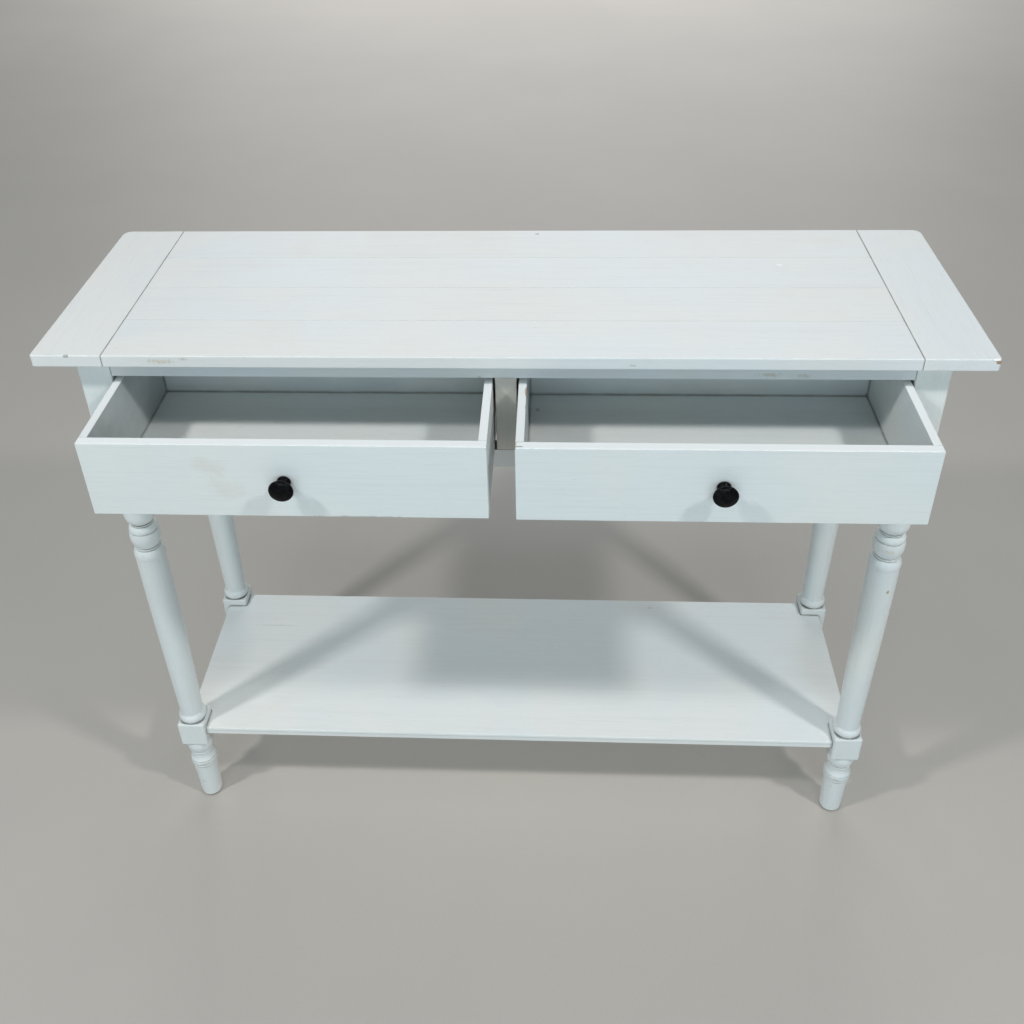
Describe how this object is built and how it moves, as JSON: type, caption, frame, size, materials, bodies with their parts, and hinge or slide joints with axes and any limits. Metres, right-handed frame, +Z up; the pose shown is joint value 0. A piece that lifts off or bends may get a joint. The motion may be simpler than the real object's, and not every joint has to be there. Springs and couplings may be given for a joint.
{
  "type": "console table",
  "caption": "Narrow hall console table in painted wood: breadboard-ended plank top, turned legs, low shelf and side-by-side drawers with round knobs, standing part open.",
  "frame": {"origin": "on the floor, at the centre of the whole object's box in plan, with the drawers standing out as stored", "axes": "+X to the right along the table, the front with its drawers faces -Y, +Z up"},
  "size_m": [1.08, 0.462, 0.822],
  "materials": {
    "top_paint": "white satin paint with a faint lengthwise grain",
    "frame_paint": "white satin paint",
    "drawer_paint": "white satin paint",
    "bare_wood": "bare planed pine",
    "knob_lacquer": "gloss black lacquer",
    "screw_steel": "zinc plated",
    "glide_plastic": "moulded matt black"
  },
  "bodies": {
    "carcass": {"top_board_1": "top_paint", "top_board_2": "top_paint", "top_board_3": "top_paint", "top_board_4": "top_paint", "breadboard_left": "top_paint", "breadboard_right": "top_paint", "leg_front_left": "frame_paint", "leg_front_right": "frame_paint", "leg_rear_left": "frame_paint", "leg_rear_right": "frame_paint", "front_top_rail": "frame_paint", "front_bottom_rail": "frame_paint", "centre_divider": "frame_paint", "side_apron_left": "frame_paint", "side_apron_right": "frame_paint", "rear_apron": "frame_paint", "shelf": "frame_paint", "top_cleat_left": "bare_wood", "top_cleat_right": "bare_wood", "side_guide_left": "bare_wood", "side_guide_right": "bare_wood", "centre_guide": "bare_wood", "runner_left_outer": "bare_wood", "runner_left_inner": "bare_wood", "runner_right_inner": "bare_wood", "runner_right_outer": "bare_wood", "shelf_dowels": "bare_wood", "top_screws": "screw_steel", "leg_glides": "glide_plastic"},
    "left_drawer": {"left_drawer_front": "drawer_paint", "left_drawer_side_left": "drawer_paint", "left_drawer_side_right": "drawer_paint", "left_drawer_back": "drawer_paint", "left_drawer_bottom": "drawer_paint", "left_knob": "knob_lacquer", "left_knob_screw": "screw_steel"},
    "right_drawer": {"right_drawer_front": "drawer_paint", "right_drawer_side_left": "drawer_paint", "right_drawer_side_right": "drawer_paint", "right_drawer_back": "drawer_paint", "right_drawer_bottom": "drawer_paint", "right_knob": "knob_lacquer", "right_knob_screw": "screw_steel"}
  },
  "joints": [
    {"name": "left_drawer_slide", "type": "slide", "parent": "carcass", "child": "left_drawer", "axis": [0, -1, 0], "range_m": [-0.1285, 0.0715]},
    {"name": "right_drawer_slide", "type": "slide", "parent": "carcass", "child": "right_drawer", "axis": [0, -1, 0], "range_m": [-0.13, 0.07]}
  ]
}
